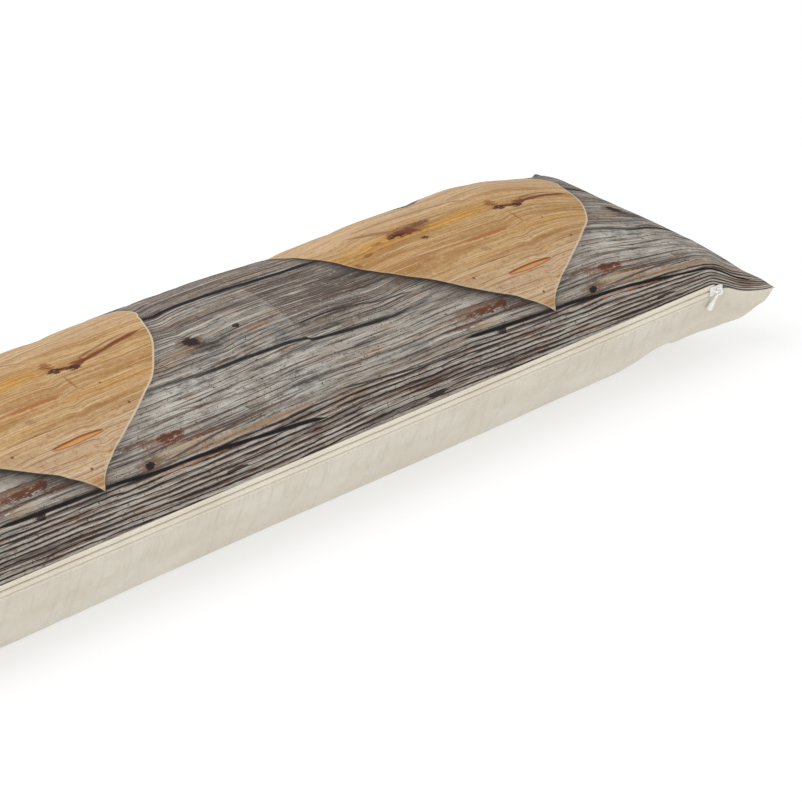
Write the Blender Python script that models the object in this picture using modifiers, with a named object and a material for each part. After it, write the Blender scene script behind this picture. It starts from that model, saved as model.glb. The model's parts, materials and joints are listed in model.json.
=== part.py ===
"""A long stuffed cushion, about 90 cm x 20 cm when its cover lies flat.

The cover is a printed top panel and a plain canvas back panel. They meet in a plain seam on three
sides and in a concealed zip on the fourth, long side. A casing filled with fibre lies inside. The
slider runs along the zip and its drop-shaped pull swings on the slider's bail.

X is the length, -Y the zip side, +Z up. The origin is the middle of the underside. Units are metres.
"""

import math

import bmesh
import bpy

# Driving dimensions
HALF_LENGTH = 0.446  # middle to a corner along X
HALF_WIDTH = 0.078  # middle to the zip side or the back seam
THICKNESS = 0.0995
CENTRE_Z = 0.0432  # height of the seam and of the zip's centre line
CORNER_FLARE = 0.017  # how far a slack corner stands out past the long seams
FLARE_START = 0.418  # |X| where the long seams begin to flare
END_PULL_IN = 0.024  # how far stuffing pulls the middle of an end seam inwards
BELLY_DEPTH = 0.066  # depth that the underside would bulge to if nothing held it up

# Fullness: how square the stuffed shape is along its length and across it
END_POWER, END_ROUNDING = 5.6, 0.42
SIDE_POWER, SIDE_ROUNDING = 2.3, 0.56
BELLY_ROUNDING = 0.45

CLOTH = 0.0010  # cover fabric
CASING_CLOTH = 0.0006
GAP = 0.0003  # between pieces that touch
SEAM_GAP = GAP / 2  # half the gap between two panels at a plain seam

# How far inside the cover's outer surface, along X, along Y, below the top and, for the casing, above the base
CASING_INSETS = (0.012, 0.009, 0.003, 0.0018)
CASING_FLARE = 0.004
FILLING_INSETS = (0.018, 0.014, 0.005)

PANEL_GRID = (34, 14)
CASING_GRID = (24, 12)
FILLING_GRID = (20, 10)

# Zip, measured from its centre line
ZIP_HALF_LENGTH = 0.4200
ZIP_CLOSES = (0.005, 0.017)  # past each end of the zip, where its gap narrows to a plain seam
ZIP_EDGE = 0.90  # share of the half width beyond which the panels part for the zip
ZIP_FACE_Y = -HALF_WIDTH
TAPE = 0.0006
TAPE_EDGE = 0.00065  # from the centre line to each tape's folded edge
TAPE_TOP = 0.0030  # from the centre line to the seam on each side
FLANGE_DEPTH = 0.0068
COIL_RADIUS = 0.0006
COIL_OFFSET = 0.0014
COIL_Y = ZIP_FACE_Y + 0.0017
STOP_LENGTH = 0.0016
STOP_PROUD = 0.0004  # how much thicker a stop is than the coils it closes

SLIDER_X = 0.4130
SLIDER_LENGTH = 0.0090
FACE_PLATE_HALF_HEIGHT = 0.0026
FACE_PLATE = 0.0010
FACE_PLATE_Y = ZIP_FACE_Y - 0.0004 - FACE_PLATE / 2  # 0.4 mm clear of the tapes
REAR_PLATE = 0.0009
REAR_PLATE_LENGTH = 0.0080
REAR_PLATE_HALF_HEIGHT = 0.0020
REAR_PLATE_Y = ZIP_FACE_Y + 0.0031  # behind the coils
NECK_LENGTH, NECK_HEIGHT = 0.0046, 0.0008
BAIL_RADIUS = 0.0005
BAIL_CORNER = 0.0012
BAIL_HALF_LENGTH = 0.0026
BAIL_Y = FACE_PLATE_Y - FACE_PLATE / 2 - 0.0027

EYE_RADIUS, EYE_WIRE = 0.0016, 0.00055
PULL_LENGTH = 0.0125
STEM_RADIUS, WAIST_RADIUS, BULB_RADIUS = 0.0007, 0.0014, 0.0017
PULL_LEAN = math.radians(16)  # in towards the canvas
PULL_TILT = math.radians(24)  # towards the open end of the zip


def clear_scene():
    for obj in list(bpy.data.objects):
        bpy.data.objects.remove(obj, do_unlink=True)


def new_collection(name):
    collection = bpy.data.collections.new(name)
    bpy.context.scene.collection.children.link(collection)
    return collection


def material(name, colour, roughness, metallic=0.0):
    made = bpy.data.materials.new(name)
    made.use_nodes = True
    shader = made.node_tree.nodes["Principled BSDF"]
    shader.inputs["Base Color"].default_value = (*colour, 1)
    shader.inputs["Roughness"].default_value = roughness
    shader.inputs["Metallic"].default_value = metallic
    return made


def add(collection, name, data, finish):
    obj = bpy.data.objects.new(name, data)
    data.materials.append(finish)
    collection.objects.link(obj)
    return obj


def smooth_step(value, start, end):
    t = min(max((value - start) / (end - start), 0), 1)
    return t * t * (3 - 2 * t)


def seam_gap(x, v):
    """Half the gap between the panels at (x, v): wide along the zip, a hair everywhere else."""
    starts, ends = ZIP_CLOSES
    along_zip = 1 - smooth_step(abs(x), ZIP_HALF_LENGTH + starts, ZIP_HALF_LENGTH + ends)
    near_zip = smooth_step(-v, ZIP_EDGE, 1.0)
    return SEAM_GAP + (TAPE_TOP + GAP - SEAM_GAP) * along_zip * near_zip


def cushion_point(u, v, top, inset_x=0.0, inset_y=0.0, inset_z=0.0, flare=CORNER_FLARE, zipped=False):
    """The stuffed shape at (u, v), each from -1 to 1 along the length and across it."""
    length = HALF_LENGTH - inset_x
    x = u * (length - END_PULL_IN * (1 - v * v))
    flare *= smooth_step(abs(u) * length, FLARE_START - inset_x, length)
    y = v * (HALF_WIDTH - inset_y + flare * v * v)
    fullness = (1 - abs(u) ** END_POWER) ** END_ROUNDING
    across = 1 - abs(v) ** SIDE_POWER
    gap = seam_gap(x, v) if zipped else SEAM_GAP
    if top:
        rise = THICKNESS - CENTRE_Z - gap - inset_z
        return x, y, CENTRE_Z + gap + rise * fullness * across**SIDE_ROUNDING
    drop = (BELLY_DEPTH - gap) * fullness * across**BELLY_ROUNDING
    return x, y, max(CENTRE_Z - gap - drop, inset_z)


def shaped_grid(bm, columns, rows, top, **insets):
    """Adds one side of the cushion: a grid, finer towards its edges, laid over the shape. Returns its faces."""
    grid = bmesh.ops.create_grid(bm, x_segments=columns, y_segments=rows, size=1)
    for vert in grid["verts"]:
        u = math.sin(vert.co.x * math.pi / 2)
        v = math.sin(vert.co.y * math.pi / 2)
        vert.co = cushion_point(u, v, top, **insets)
    faces = list({face for vert in grid["verts"] for face in vert.link_faces})
    if not top:
        bmesh.ops.reverse_faces(bm, faces=faces)
    return faces


def finish_mesh(name, bm):
    mesh = bpy.data.meshes.new(name)
    bm.to_mesh(mesh)
    bm.free()
    mesh.shade_smooth()
    return mesh


def panel(collection, name, top, cloth, finish, columns, rows, inset_x=0, inset_y=0, inset_z=0, **shape):
    """One fabric panel: the shape's outer surface and one a cloth's thickness inside it, joined at a rim."""
    bm = bmesh.new()
    insets = {"inset_x": inset_x, "inset_y": inset_y, "inset_z": inset_z}
    shaped_grid(bm, columns, rows, top, **insets, **shape)
    inner = {key: value + cloth for key, value in insets.items()}
    bmesh.ops.reverse_faces(bm, faces=shaped_grid(bm, columns, rows, top, **inner, **shape))
    bmesh.ops.bridge_loops(bm, edges=[edge for edge in bm.edges if edge.is_boundary])
    return add(collection, name, finish_mesh(name, bm), finish)


def pad(collection, name, finish, columns, rows, inset_x, inset_y, inset_z):
    """A closed pad: both sides of the shape, with no slack corners, sewn together round the rim."""
    insets = {"inset_x": inset_x, "inset_y": inset_y, "inset_z": inset_z, "flare": 0}
    bm = bmesh.new()
    shaped_grid(bm, columns, rows, True, **insets)
    shaped_grid(bm, columns, rows, False, **insets)
    bmesh.ops.remove_doubles(bm, verts=bm.verts, dist=2.2 * SEAM_GAP)
    return add(collection, name, finish_mesh(name, bm), finish)


def along_x(collection, name, outline, half_length, finish):
    """A bar along X with the outline given as (y, z) corners."""
    curve = bpy.data.curves.new(name, "CURVE")
    curve.dimensions = "2D"
    curve.fill_mode = "BOTH"
    curve.extrude = half_length
    spline = curve.splines.new("POLY")
    spline.points.add(len(outline) - 1)
    for point, (y, z) in zip(spline.points, outline):
        point.co = (y, z, 0, 1)
    spline.use_cyclic_u = True
    obj = add(collection, name, curve, finish)
    obj.rotation_euler = (math.pi / 2, 0, math.pi / 2)
    return obj


def zip_tape(collection, name, side, finish):
    """Half of the zip's tape: a folded face that shows, and a flange that is sewn to its panel."""
    face, back = ZIP_FACE_Y, ZIP_FACE_Y + TAPE
    deep = ZIP_FACE_Y + FLANGE_DEPTH
    corners = [
        (face, TAPE_EDGE),
        (back, TAPE_EDGE),
        (back, TAPE_TOP - TAPE),
        (deep, TAPE_TOP - TAPE),
        (deep, TAPE_TOP),
        (face, TAPE_TOP),
    ]
    outline = [(y, CENTRE_Z + side * z) for y, z in corners]
    return along_x(collection, name, outline, ZIP_HALF_LENGTH, finish)


def wire(collection, name, points, radius, finish):
    curve = bpy.data.curves.new(name, "CURVE")
    curve.dimensions = "3D"
    curve.bevel_depth = radius
    curve.bevel_resolution = 2
    curve.use_fill_caps = True
    spline = curve.splines.new("POLY")
    spline.points.add(len(points) - 1)
    for point, place in zip(spline.points, points):
        point.co = (*place, 1)
    return add(collection, name, curve, finish)


def zip_coil(collection, name, side, finish):
    z = CENTRE_Z + side * COIL_OFFSET
    end = ZIP_HALF_LENGTH - STOP_LENGTH - GAP
    return wire(collection, name, [(-end, COIL_Y, z), (end, COIL_Y, z)], COIL_RADIUS, finish)


def box(name, size, place, finish, collection, bevel=0.0):
    bm = bmesh.new()
    bmesh.ops.create_cube(bm, size=1)
    bmesh.ops.scale(bm, vec=size, verts=bm.verts)
    obj = add(collection, name, finish_mesh(name, bm), finish)
    obj.location = place
    if bevel:
        rounding = obj.modifiers.new("Rounding", "BEVEL")
        rounding.width = bevel
        rounding.segments = 2
    return obj


def zip_stop(collection, name, end, finish):
    """A crimped stop, which closes off both coils at one end."""
    size = (STOP_LENGTH, 2 * COIL_RADIUS + STOP_PROUD, 2 * (COIL_OFFSET + COIL_RADIUS))
    place = (end * (ZIP_HALF_LENGTH - STOP_LENGTH / 2), COIL_Y, CENTRE_Z)
    return box(name, size, place, finish, collection, bevel=0.0002)


def as_mesh(obj):
    """The curve object as a mesh object with welded caps, in the same place."""
    graph = bpy.context.evaluated_depsgraph_get()
    mesh = bpy.data.meshes.new_from_object(obj.evaluated_get(graph))
    bm = bmesh.new()
    bm.from_mesh(mesh)
    bmesh.ops.remove_doubles(bm, verts=bm.verts, dist=1e-6)
    bm.to_mesh(mesh)
    bm.free()
    made = bpy.data.objects.new(obj.name, mesh)
    made.matrix_world = obj.matrix_world
    for collection in obj.users_collection:
        collection.objects.link(made)
    bpy.data.objects.remove(obj, do_unlink=True)
    return made


def join(target, others, cutters):
    """Unites the others with the target by a Boolean, and keeps them as hidden cutters."""
    for other in others:
        union = target.modifiers.new("Join " + other.name, "BOOLEAN")
        union.operation = "UNION"
        union.object = other
        other.hide_render = True
        other.display_type = "WIRE"
        for collection in list(other.users_collection):
            collection.objects.unlink(other)
        cutters.objects.link(other)


def bail_points():
    """The bail's arch, along X in front of the face plate, with quarter-round corners."""
    foot_y = FACE_PLATE_Y
    points = [(-BAIL_HALF_LENGTH, foot_y, 0)]
    for step in range(4):
        angle = step * math.pi / 6
        x = -BAIL_HALF_LENGTH + BAIL_CORNER * (1 - math.cos(angle))
        y = BAIL_Y + BAIL_CORNER * (1 - math.sin(angle))
        points.append((x, y, 0))
    return points + [(-x, y, z) for x, y, z in reversed(points)]


def zip_slider(collection, cutters, finish):
    plate_size = (SLIDER_LENGTH, FACE_PLATE, 2 * FACE_PLATE_HALF_HEIGHT)
    centre = (SLIDER_X, FACE_PLATE_Y, CENTRE_Z)
    slider = box("zip_slider", plate_size, centre, finish, collection, bevel=0.0004)
    neck_depth = REAR_PLATE_Y - FACE_PLATE_Y
    neck_place = (SLIDER_X, FACE_PLATE_Y + neck_depth / 2, CENTRE_Z)
    neck = box("slider_neck", (NECK_LENGTH, neck_depth, NECK_HEIGHT), neck_place, finish, collection)
    rear_size = (REAR_PLATE_LENGTH, REAR_PLATE, 2 * REAR_PLATE_HALF_HEIGHT)
    rear_place = (SLIDER_X, REAR_PLATE_Y, CENTRE_Z)
    rear = box("slider_rear_plate", rear_size, rear_place, finish, collection, bevel=0.0003)
    bail = wire(collection, "slider_bail", bail_points(), BAIL_RADIUS, finish)
    bail.location = (SLIDER_X, 0, CENTRE_Z)
    bpy.context.view_layer.update()
    join(slider, [neck, rear, as_mesh(bail)], cutters)
    return slider


def drop_profile():
    """Half the outline of the drop, as (radius, distance down from the bail)."""
    start = EYE_RADIUS - EYE_WIRE / 2
    rows = [
        (0.0, start),
        (STEM_RADIUS, EYE_RADIUS),
        (STEM_RADIUS, 0.4 * PULL_LENGTH),
        (WAIST_RADIUS, 0.66 * PULL_LENGTH),
    ]
    centre = PULL_LENGTH - BULB_RADIUS
    for step in range(6):
        angle = math.radians(10 + step * 16)
        rows.append((BULB_RADIUS * math.cos(angle), centre + BULB_RADIUS * math.sin(angle)))
    return rows + [(0.0, PULL_LENGTH)]


def zip_pull(collection, cutters, finish):
    """The drop hangs from an eye on the bail; its origin is on the bail's axis."""
    bm = bmesh.new()
    verts = [bm.verts.new((radius, 0, -down)) for radius, down in drop_profile()]
    for first, second in zip(verts, verts[1:]):
        bm.edges.new((first, second))
    pull = add(collection, "zip_pull", finish_mesh("zip_pull", bm), finish)
    turn = pull.modifiers.new("Turn", "SCREW")
    turn.steps = turn.render_steps = 14
    turn.use_merge_vertices = True
    turn.merge_threshold = 1e-5
    turn.use_normal_calculate = True
    bpy.ops.mesh.primitive_torus_add(
        major_radius=EYE_RADIUS,
        minor_radius=EYE_WIRE,
        major_segments=20,
        minor_segments=8,
        rotation=(0, math.pi / 2, 0),
    )
    eye = bpy.context.active_object
    eye.name = "pull_eye"
    eye.data.materials.append(finish)
    for obj in (pull, eye):
        obj.rotation_mode = "YXZ"
    swing = bpy.data.objects.new("pull_axis", None)
    collection.objects.link(swing)
    swing.location = (SLIDER_X, BAIL_Y, CENTRE_Z)
    swing.rotation_mode = "YXZ"
    swing.rotation_euler = (PULL_LEAN, PULL_TILT, 0)
    pull.parent = swing
    eye.parent = swing
    join(pull, [eye], cutters)
    return pull


def materials():
    return {
        "print": material("printed_cotton", (0.30, 0.24, 0.19), 0.9),
        "canvas": material("ecru_canvas", (0.63, 0.59, 0.51), 0.95),
        "tape": material("zip_tape", (0.79, 0.75, 0.63), 0.85),
        "coil": material("nylon_coil", (0.80, 0.77, 0.66), 0.5),
        "slider": material("white_enamel", (0.86, 0.85, 0.80), 0.3),
        "casing": material("casing_cloth", (0.85, 0.85, 0.84), 0.95),
        "fibre": material("polyester_fibre", (0.92, 0.92, 0.91), 1.0),
    }


def build():
    clear_scene()
    parts = new_collection("long_cushion")
    cutters = new_collection("joined_shapes")
    cutters.hide_render = True
    finish = materials()

    panel(parts, "printed_panel", True, CLOTH, finish["print"], *PANEL_GRID, zipped=True)
    panel(parts, "canvas_panel", False, CLOTH, finish["canvas"], *PANEL_GRID, zipped=True)

    inset_x, inset_y, inset_top, inset_base = CASING_INSETS
    for name, top, inset_z in (("casing_top", True, inset_top), ("casing_bottom", False, inset_base)):
        insets = (inset_x, inset_y, inset_z)
        panel(parts, name, top, CASING_CLOTH, finish["casing"], *CASING_GRID, *insets, flare=CASING_FLARE)
    pad(parts, "fibre_filling", finish["fibre"], *FILLING_GRID, *FILLING_INSETS)

    for side, where in ((1, "upper"), (-1, "lower")):
        zip_tape(parts, f"zip_tape_{where}", side, finish["tape"])
        zip_coil(parts, f"zip_coil_{where}", side, finish["coil"])
    zip_stop(parts, "zip_top_stop", 1, finish["coil"])
    zip_stop(parts, "zip_bottom_stop", -1, finish["coil"])
    zip_slider(parts, cutters, finish["slider"])
    zip_pull(parts, cutters, finish["slider"])


build()
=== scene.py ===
"""Looks of the long cushion: a stuffed cover with a wood-and-hearts print, a canvas back and a concealed zip.

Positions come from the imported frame, in metres. The prints and weaves are drawn in fabric coordinates, in
millimetres: x along the length from the middle, s over the top from the zip seam to the back seam.
"""

import json
import math

import bmesh
import bpy
import numpy as np
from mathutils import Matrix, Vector


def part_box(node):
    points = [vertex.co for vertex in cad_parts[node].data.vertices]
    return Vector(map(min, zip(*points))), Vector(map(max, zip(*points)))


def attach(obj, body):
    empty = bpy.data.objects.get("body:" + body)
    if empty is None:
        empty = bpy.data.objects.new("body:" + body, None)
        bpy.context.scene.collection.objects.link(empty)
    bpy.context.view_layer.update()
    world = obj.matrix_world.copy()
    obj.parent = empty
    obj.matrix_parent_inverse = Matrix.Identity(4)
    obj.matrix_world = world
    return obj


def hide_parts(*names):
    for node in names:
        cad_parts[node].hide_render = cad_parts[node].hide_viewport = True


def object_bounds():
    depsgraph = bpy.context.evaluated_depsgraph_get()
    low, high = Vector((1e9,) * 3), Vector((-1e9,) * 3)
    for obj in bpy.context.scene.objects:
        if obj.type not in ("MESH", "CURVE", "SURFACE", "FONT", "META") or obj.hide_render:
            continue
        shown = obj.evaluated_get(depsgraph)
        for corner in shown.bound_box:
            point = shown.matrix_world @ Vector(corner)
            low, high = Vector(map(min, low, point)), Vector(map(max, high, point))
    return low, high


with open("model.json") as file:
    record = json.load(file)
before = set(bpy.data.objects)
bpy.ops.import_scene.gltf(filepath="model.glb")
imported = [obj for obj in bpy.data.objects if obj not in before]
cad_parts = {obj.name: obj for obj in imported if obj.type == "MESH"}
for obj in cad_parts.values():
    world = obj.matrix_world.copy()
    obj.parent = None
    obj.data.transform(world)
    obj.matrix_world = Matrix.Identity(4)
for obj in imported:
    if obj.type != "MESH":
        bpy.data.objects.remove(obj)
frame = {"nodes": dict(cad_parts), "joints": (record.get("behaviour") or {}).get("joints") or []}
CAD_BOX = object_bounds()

MM = 0.001

# The shape's driving sizes, read from the frame
PANEL_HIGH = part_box("printed_panel")[1]
TAPE_LOW, TAPE_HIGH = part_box("zip_tape_upper")
SLIDER_LOW, SLIDER_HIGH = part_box("zip_slider")
SWING = [joint for joint in frame["joints"] if joint["name"] == "pull_swing"][0]

HALF_LENGTH = PANEL_HIGH.x
THICKNESS = PANEL_HIGH.z
HALF_WIDTH = -TAPE_LOW.y
CENTRE_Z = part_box("zip_tape_lower")[1].z / 2 + TAPE_LOW.z / 2
CORNER_FLARE = PANEL_HIGH.y - HALF_WIDTH
ZIP_END = TAPE_HIGH.x
TAPE_TOP = TAPE_HIGH.z - CENTRE_Z
SLIDER_X = (SLIDER_LOW.x + SLIDER_HIGH.x) / 2

# The same form as the CAD's: fullness along the length and across it
FLARE_START = HALF_LENGTH - 0.034
END_PULL_IN = 0.0215
BELLY_DEPTH, BELLY_FULLER_LEFT = 0.069, 0.2
END_POWER, END_ROUNDING = 4.6, 0.425
BELLY_END_POWER, BELLY_END_ROUNDING = 4.06, 0.136
SIDE_POWER, SIDE_ROUNDING, BELLY_ROUNDING = 2.3, 0.56, 0.6
SEAM_DROOP = 0.0035

# The underside leaves the floor between these distances from the middle, and hangs down again in one fold
END_LIFT, LIFT_FROM, LIFT_TO = 0.0183, 0.3626, 0.39
END_FOLD, FOLD_X, FOLD_WIDTH = 0.0178, 0.4148, 0.0232

COLUMNS, ROWS = 213, 57
CLOTH = 0.0009
CLOTH_EASE = 0.03  # how much bigger the cloth is than the stuffed shape
FOLD_CAP = 0.004
TOP_FOLDS, BELLY_FOLDS = 0.3, 0.8  # the printed side is pulled taut, the canvas is slacker
REPEAT = 300.0  # mm between hearts
INK_LIGHT = 0.82  # printed colours are darkened by this, because the studio light is a little over full
PRINT_THREAD = 0.8  # mm between the printed cotton's threads


def smooth(value, start, end):
    t = np.clip((value - start) / (end - start), 0, 1)
    return t * t * (3 - 2 * t)


def hump(value, centre, width):
    return np.exp(-(((value - centre) / width) ** 2))


# ---------------------------------------------------------------- shader formulas


class Field:
    """A value in a shader. Arithmetic on it adds Math nodes to its material."""

    def __init__(self, net, socket):
        self.net, self.socket = net, socket

    def __add__(self, other):
        return self.net.math("ADD", self, other)

    __radd__ = __add__

    def __sub__(self, other):
        return self.net.math("SUBTRACT", self, other)

    def __rsub__(self, other):
        return self.net.math("SUBTRACT", other, self)

    def __mul__(self, other):
        return self.net.math("MULTIPLY", self, other)

    __rmul__ = __mul__

    def __truediv__(self, other):
        return self.net.math("DIVIDE", self, other)

    def __neg__(self):
        return self.net.math("MULTIPLY", self, -1)

    def __abs__(self):
        return self.net.math("ABSOLUTE", self)


class Net:
    """A material whose nodes are written as formulas, in millimetres of fabric."""

    def __init__(self, name, roughness):
        self.material = bpy.data.materials.new(name)
        self.material.use_nodes = True
        self.tree = self.material.node_tree
        self.shader = self.tree.nodes["Principled BSDF"]
        self.shader.inputs["Roughness"].default_value = roughness
        if roughness > 0.6:
            self.shader.inputs["Specular IOR Level"].default_value = 0.12

    def set(self, socket, value):
        if isinstance(value, Field):
            self.tree.links.new(value.socket, socket)
        elif value is not None:
            socket.default_value = value

    def node(self, kind, inputs=(), **settings):
        made = self.tree.nodes.new("ShaderNode" + kind)
        for name, value in settings.items():
            setattr(made, name, value)
        for key, value in dict(inputs).items():
            self.set(made.inputs[key], value)
        return made

    def math(self, operation, *values):
        made = self.node("Math", enumerate(values), operation=operation)
        return Field(self, made.outputs[0])

    def fabric(self):
        """Fabric coordinates, in millimetres."""
        stored = self.node("Attribute", attribute_name="fabric")
        split = self.node("SeparateXYZ", {0: Field(self, stored.outputs["Vector"])})
        return Field(self, split.outputs[0]), Field(self, split.outputs[1])

    def place(self):
        """The point in the piece's own space, in millimetres, as three fields."""
        coordinates = self.node("TexCoord")
        split = self.node("SeparateXYZ", {0: Field(self, coordinates.outputs["Object"])})
        return [Field(self, output) * 1000 for output in split.outputs]

    def point(self, *xyz):
        return Field(self, self.node("CombineXYZ", enumerate(xyz)).outputs[0])

    def smooth(self, value, start, end, low=0.0, high=1.0):
        """From low at start to high at end; start may be the larger."""
        inputs = {"Value": value, "From Min": start, "From Max": end, "To Min": low, "To Max": high}
        made = self.node("MapRange", inputs, interpolation_type="SMOOTHSTEP")
        return Field(self, made.outputs["Result"])

    def noise(self, point, detail=2.0, roughness=0.5, distortion=0.0):
        inputs = {"Vector": point, "Scale": 1.0, "Detail": detail, "Roughness": roughness}
        made = self.node("TexNoise", {**inputs, "Distortion": distortion}, noise_dimensions="3D")
        return Field(self, made.outputs["Fac"])

    def curve(self, value, low, high, points):
        """A smooth curve through (value, result) points, from low to high in value."""
        results = [y for _, y in points]
        bottom, span = min(results) - 1e-6, max(results) - min(results) + 2e-6
        made = self.node("FloatCurve", {"Value": (value - low) / (high - low)})
        line = made.mapping.curves[0]
        while len(line.points) < len(points):
            line.points.new(0.5, 0.5)
        for knot, (x, y) in zip(line.points, points):
            knot.location = ((x - low) / (high - low), (y - bottom) / span)
        made.mapping.use_clip = False
        made.mapping.update()
        return Field(self, made.outputs[0]) * span + bottom

    def mix(self, amount, first, second, blend="MIX"):
        made = self.node("Mix", data_type="RGBA", blend_type=blend)
        self.set(made.inputs["Factor"], amount)
        self.set(made.inputs[6], first)
        self.set(made.inputs[7], second)
        return Field(self, made.outputs[2])

    def layered(self, colour, layers):
        """The colour under layers of ink, each given as its amount and its ink."""
        for amount, shade in layers:
            colour = self.mix(amount, colour, shade)
        return colour

    def finish(self, colour, height=None, distance=0.0004, strength=0.6, roughness=None):
        self.set(self.shader.inputs["Base Color"], colour)
        self.set(self.shader.inputs["Roughness"], roughness)
        if height is not None:
            bump = self.node("Bump", {"Height": height})
            bump.inputs["Distance"].default_value = distance
            bump.inputs["Strength"].default_value = strength
            self.tree.links.new(bump.outputs[0], self.shader.inputs["Normal"])
        return self.material


def tone(red, green, blue, light=1.0):
    """A display colour, 0 to 255, as the shader's linear one."""
    linear = [((c / 255 + 0.055) / 1.055) ** 2.4 * light for c in (red, green, blue)]
    return (*linear, 1.0)


def ink(red, green, blue):
    """A printed colour as it looks under the studio light, which is a little over full."""
    return tone(red, green, blue, INK_LIGHT)


# ---------------------------------------------------------------- the printed picture


class Picture:
    """One repeat of the print: x runs from -150 to 150 mm round the heart's axis, s up from the zip seam."""

    def __init__(self, net):
        self.net = net
        self.across, self.s = net.fabric()
        self.x = net.math("WRAP", self.across, REPEAT / 2, -REPEAT / 2)
        angle = self.across * (2 * math.pi / REPEAT)
        self.ring = net.math("COSINE", angle), net.math("SINE", angle)
        self.seed = 0
        # The small irregularities that every mark shares
        self.rough = self.grain(4.5, 1.6, 5, 0.75, distortion=0.6)
        self.wander = self.grain(22, 6, 3, 0.6)
        self.swell = self.grain(16, 8, 2)

    def grain(self, length, width, detail=2.0, roughness=0.5, bend=0.0, distortion=0.0):
        """Noise stretched along the wood: features about length by width mm, joined up at the repeat."""
        self.seed += 17
        ring = REPEAT / (2 * math.pi) / length
        height = (self.s + bend) / width + self.seed
        point = self.net.point(self.ring[0] * ring, self.ring[1] * ring, height)
        return self.net.noise(point, detail, roughness, distortion)

    def spot(self, x, s, wide, high, ragged=0.5, soft=0.5):
        """1 inside an oval of the given half width and half height, 0 outside, torn along the grain."""
        across = (self.x - x) / wide
        up = (self.s - s) / high
        reach = across * across + up * up + (self.rough - 0.5) * (7 * ragged)
        return self.net.smooth(reach, 1 + soft * 0.5, 1 - soft * 0.5)

    def lines(self, pitch, wobble, thin, thick):
        """Long lines a pitch apart, in mm, that swell and fade from thin to thick and follow wobble."""
        turn = self.net.math("FRACT", (self.s + wobble) / pitch)
        half = self.net.smooth(self.grain(26, pitch * 0.55, 2, 0.6), 0.38, 0.64, thin / 2, thick / 2)
        half = self.net.math("MAXIMUM", half, 0.02)
        return self.net.smooth(abs(turn - 0.5) * pitch / half, 1.5, 0.5)

    def line(self, points, width, ragged=0.4, power=1.0):
        """A crack or a dark line through the points, as wide as width, that thins out at both its ends."""
        x = self.x
        first, last = points[0][0], points[-1][0]
        level = self.net.curve(x, first, last, points)
        away = abs(self.s - level + (self.wander - 0.5) * (2 * ragged))
        end = self.net.smooth(x, first, first + 12) * self.net.smooth(x, last, last - 12)
        half = end * (width / 2) * (self.swell + 0.5)
        return self.net.smooth(away / (half + 0.05), 1.6, 0.6) * power * self.net.smooth(end, 0.0, 0.2)

    def along(self, points, width, ragged=0.4, power=1.0):
        """Like line, but for a line that goes the whole way round the repeat."""
        level = self.net.curve(self.x, -REPEAT / 2, REPEAT / 2, points)
        away = abs(self.s - level + (self.wander - 0.5) * (2 * ragged))
        return self.net.smooth(away / (width / 2 * (self.swell + 0.5)), 1.6, 0.6) * power

    def stained(self, colour, marks):
        """The colour under marks, each given as the values of its spot, its strength and its ink."""
        layers = [(self.spot(*oval) * strength, shade) for oval, strength, shade in marks]
        return self.net.layered(colour, layers)

    def cracked(self, colour, cracks):
        """The colour under lines, each given as its points, the other values of its line, and its ink."""
        layers = [(self.line(points, *shape), shade) for points, shape, shade in cracks]
        return self.net.layered(colour, layers)


def board_colours(p, bend):
    """Four weathered boards, from the zip seam up: tan, pale, brown-grey and dark."""
    net, s = p.net, p.s
    patch = p.grain(34, 7, 5, 0.68, bend)
    cloud = p.grain(13, 6, 5, 0.74, bend)
    mottle = p.grain(4, 2.6, 4, 0.72)
    pale = net.smooth(cloud, 0.46, 0.62) * (0.12 + p.spot(98, 46, 58, 20, 0.4, 1.2) * 0.45)
    dim = p.spot(-128, 90, 50, 26, 0.5, 1.6) * 0.75
    blue = net.smooth(cloud, 0.48, 0.38) * p.spot(118, 60, 64, 32, 0.4, 1.2) * 0.6
    colour = net.mix(net.smooth(s, 20, 28), ink(182, 174, 164), ink(171, 163, 152))
    layers = [
        (net.smooth(s, 57, 62), ink(148, 139, 129)),
        (net.smooth(s, 108, 118), ink(130, 118, 109)),
        (net.smooth(s, 168, 174), ink(160, 146, 132)),
        (net.smooth(patch, 0.52, 0.66) * 0.6, ink(164, 130, 98)),
        (net.smooth(patch, 0.47, 0.36) * 0.6, ink(122, 124, 122)),
        (pale, ink(208, 206, 200)),
        (dim, ink(92, 79, 73)),
        (blue, ink(102, 112, 120)),
        (net.smooth(mottle, 0.44, 0.34) * 0.65, ink(88, 70, 56)),
        (net.smooth(mottle, 0.58, 0.68) * 0.5, ink(206, 199, 186)),
    ]
    return net.layered(colour, layers)


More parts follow.
